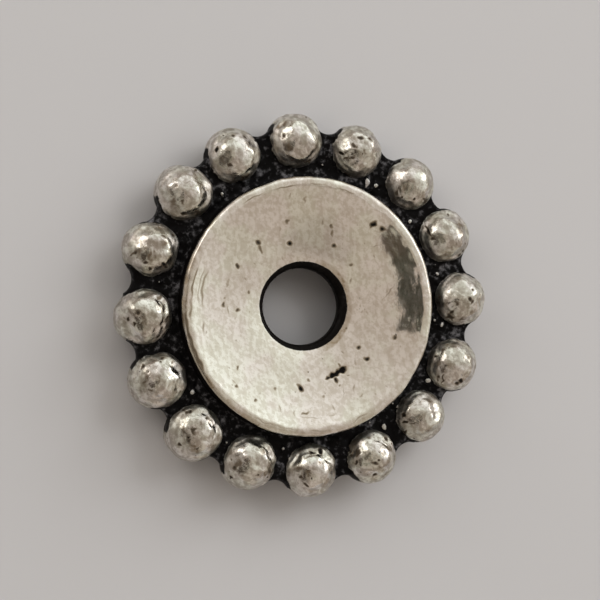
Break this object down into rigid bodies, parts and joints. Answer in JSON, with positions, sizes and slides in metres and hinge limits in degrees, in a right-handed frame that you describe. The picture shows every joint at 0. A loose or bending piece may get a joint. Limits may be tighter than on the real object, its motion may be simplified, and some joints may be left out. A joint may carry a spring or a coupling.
{
  "type": "rondelle spacer bead",
  "caption": "Flat round spacer bead with a dished hub on both faces, a central hole and a ring of solid granules around the rim, in antiqued silver-tone metal.",
  "frame": {"origin": "middle of the hole, halfway between the two faces", "axes": "+Z along the hole, out of the face that the picture shows; +X to the right and +Y to the top of the picture"},
  "size_m": [0.0139, 0.0139, 0.002],
  "materials": {
    "antique_silver": "silver-plated casting, worn bright on the dish, lips and granules, with black patina in the groove, on the web and in the hole"
  },
  "bodies": {
    "root": {"rondelle": "antique_silver"}
  },
  "joints": []
}
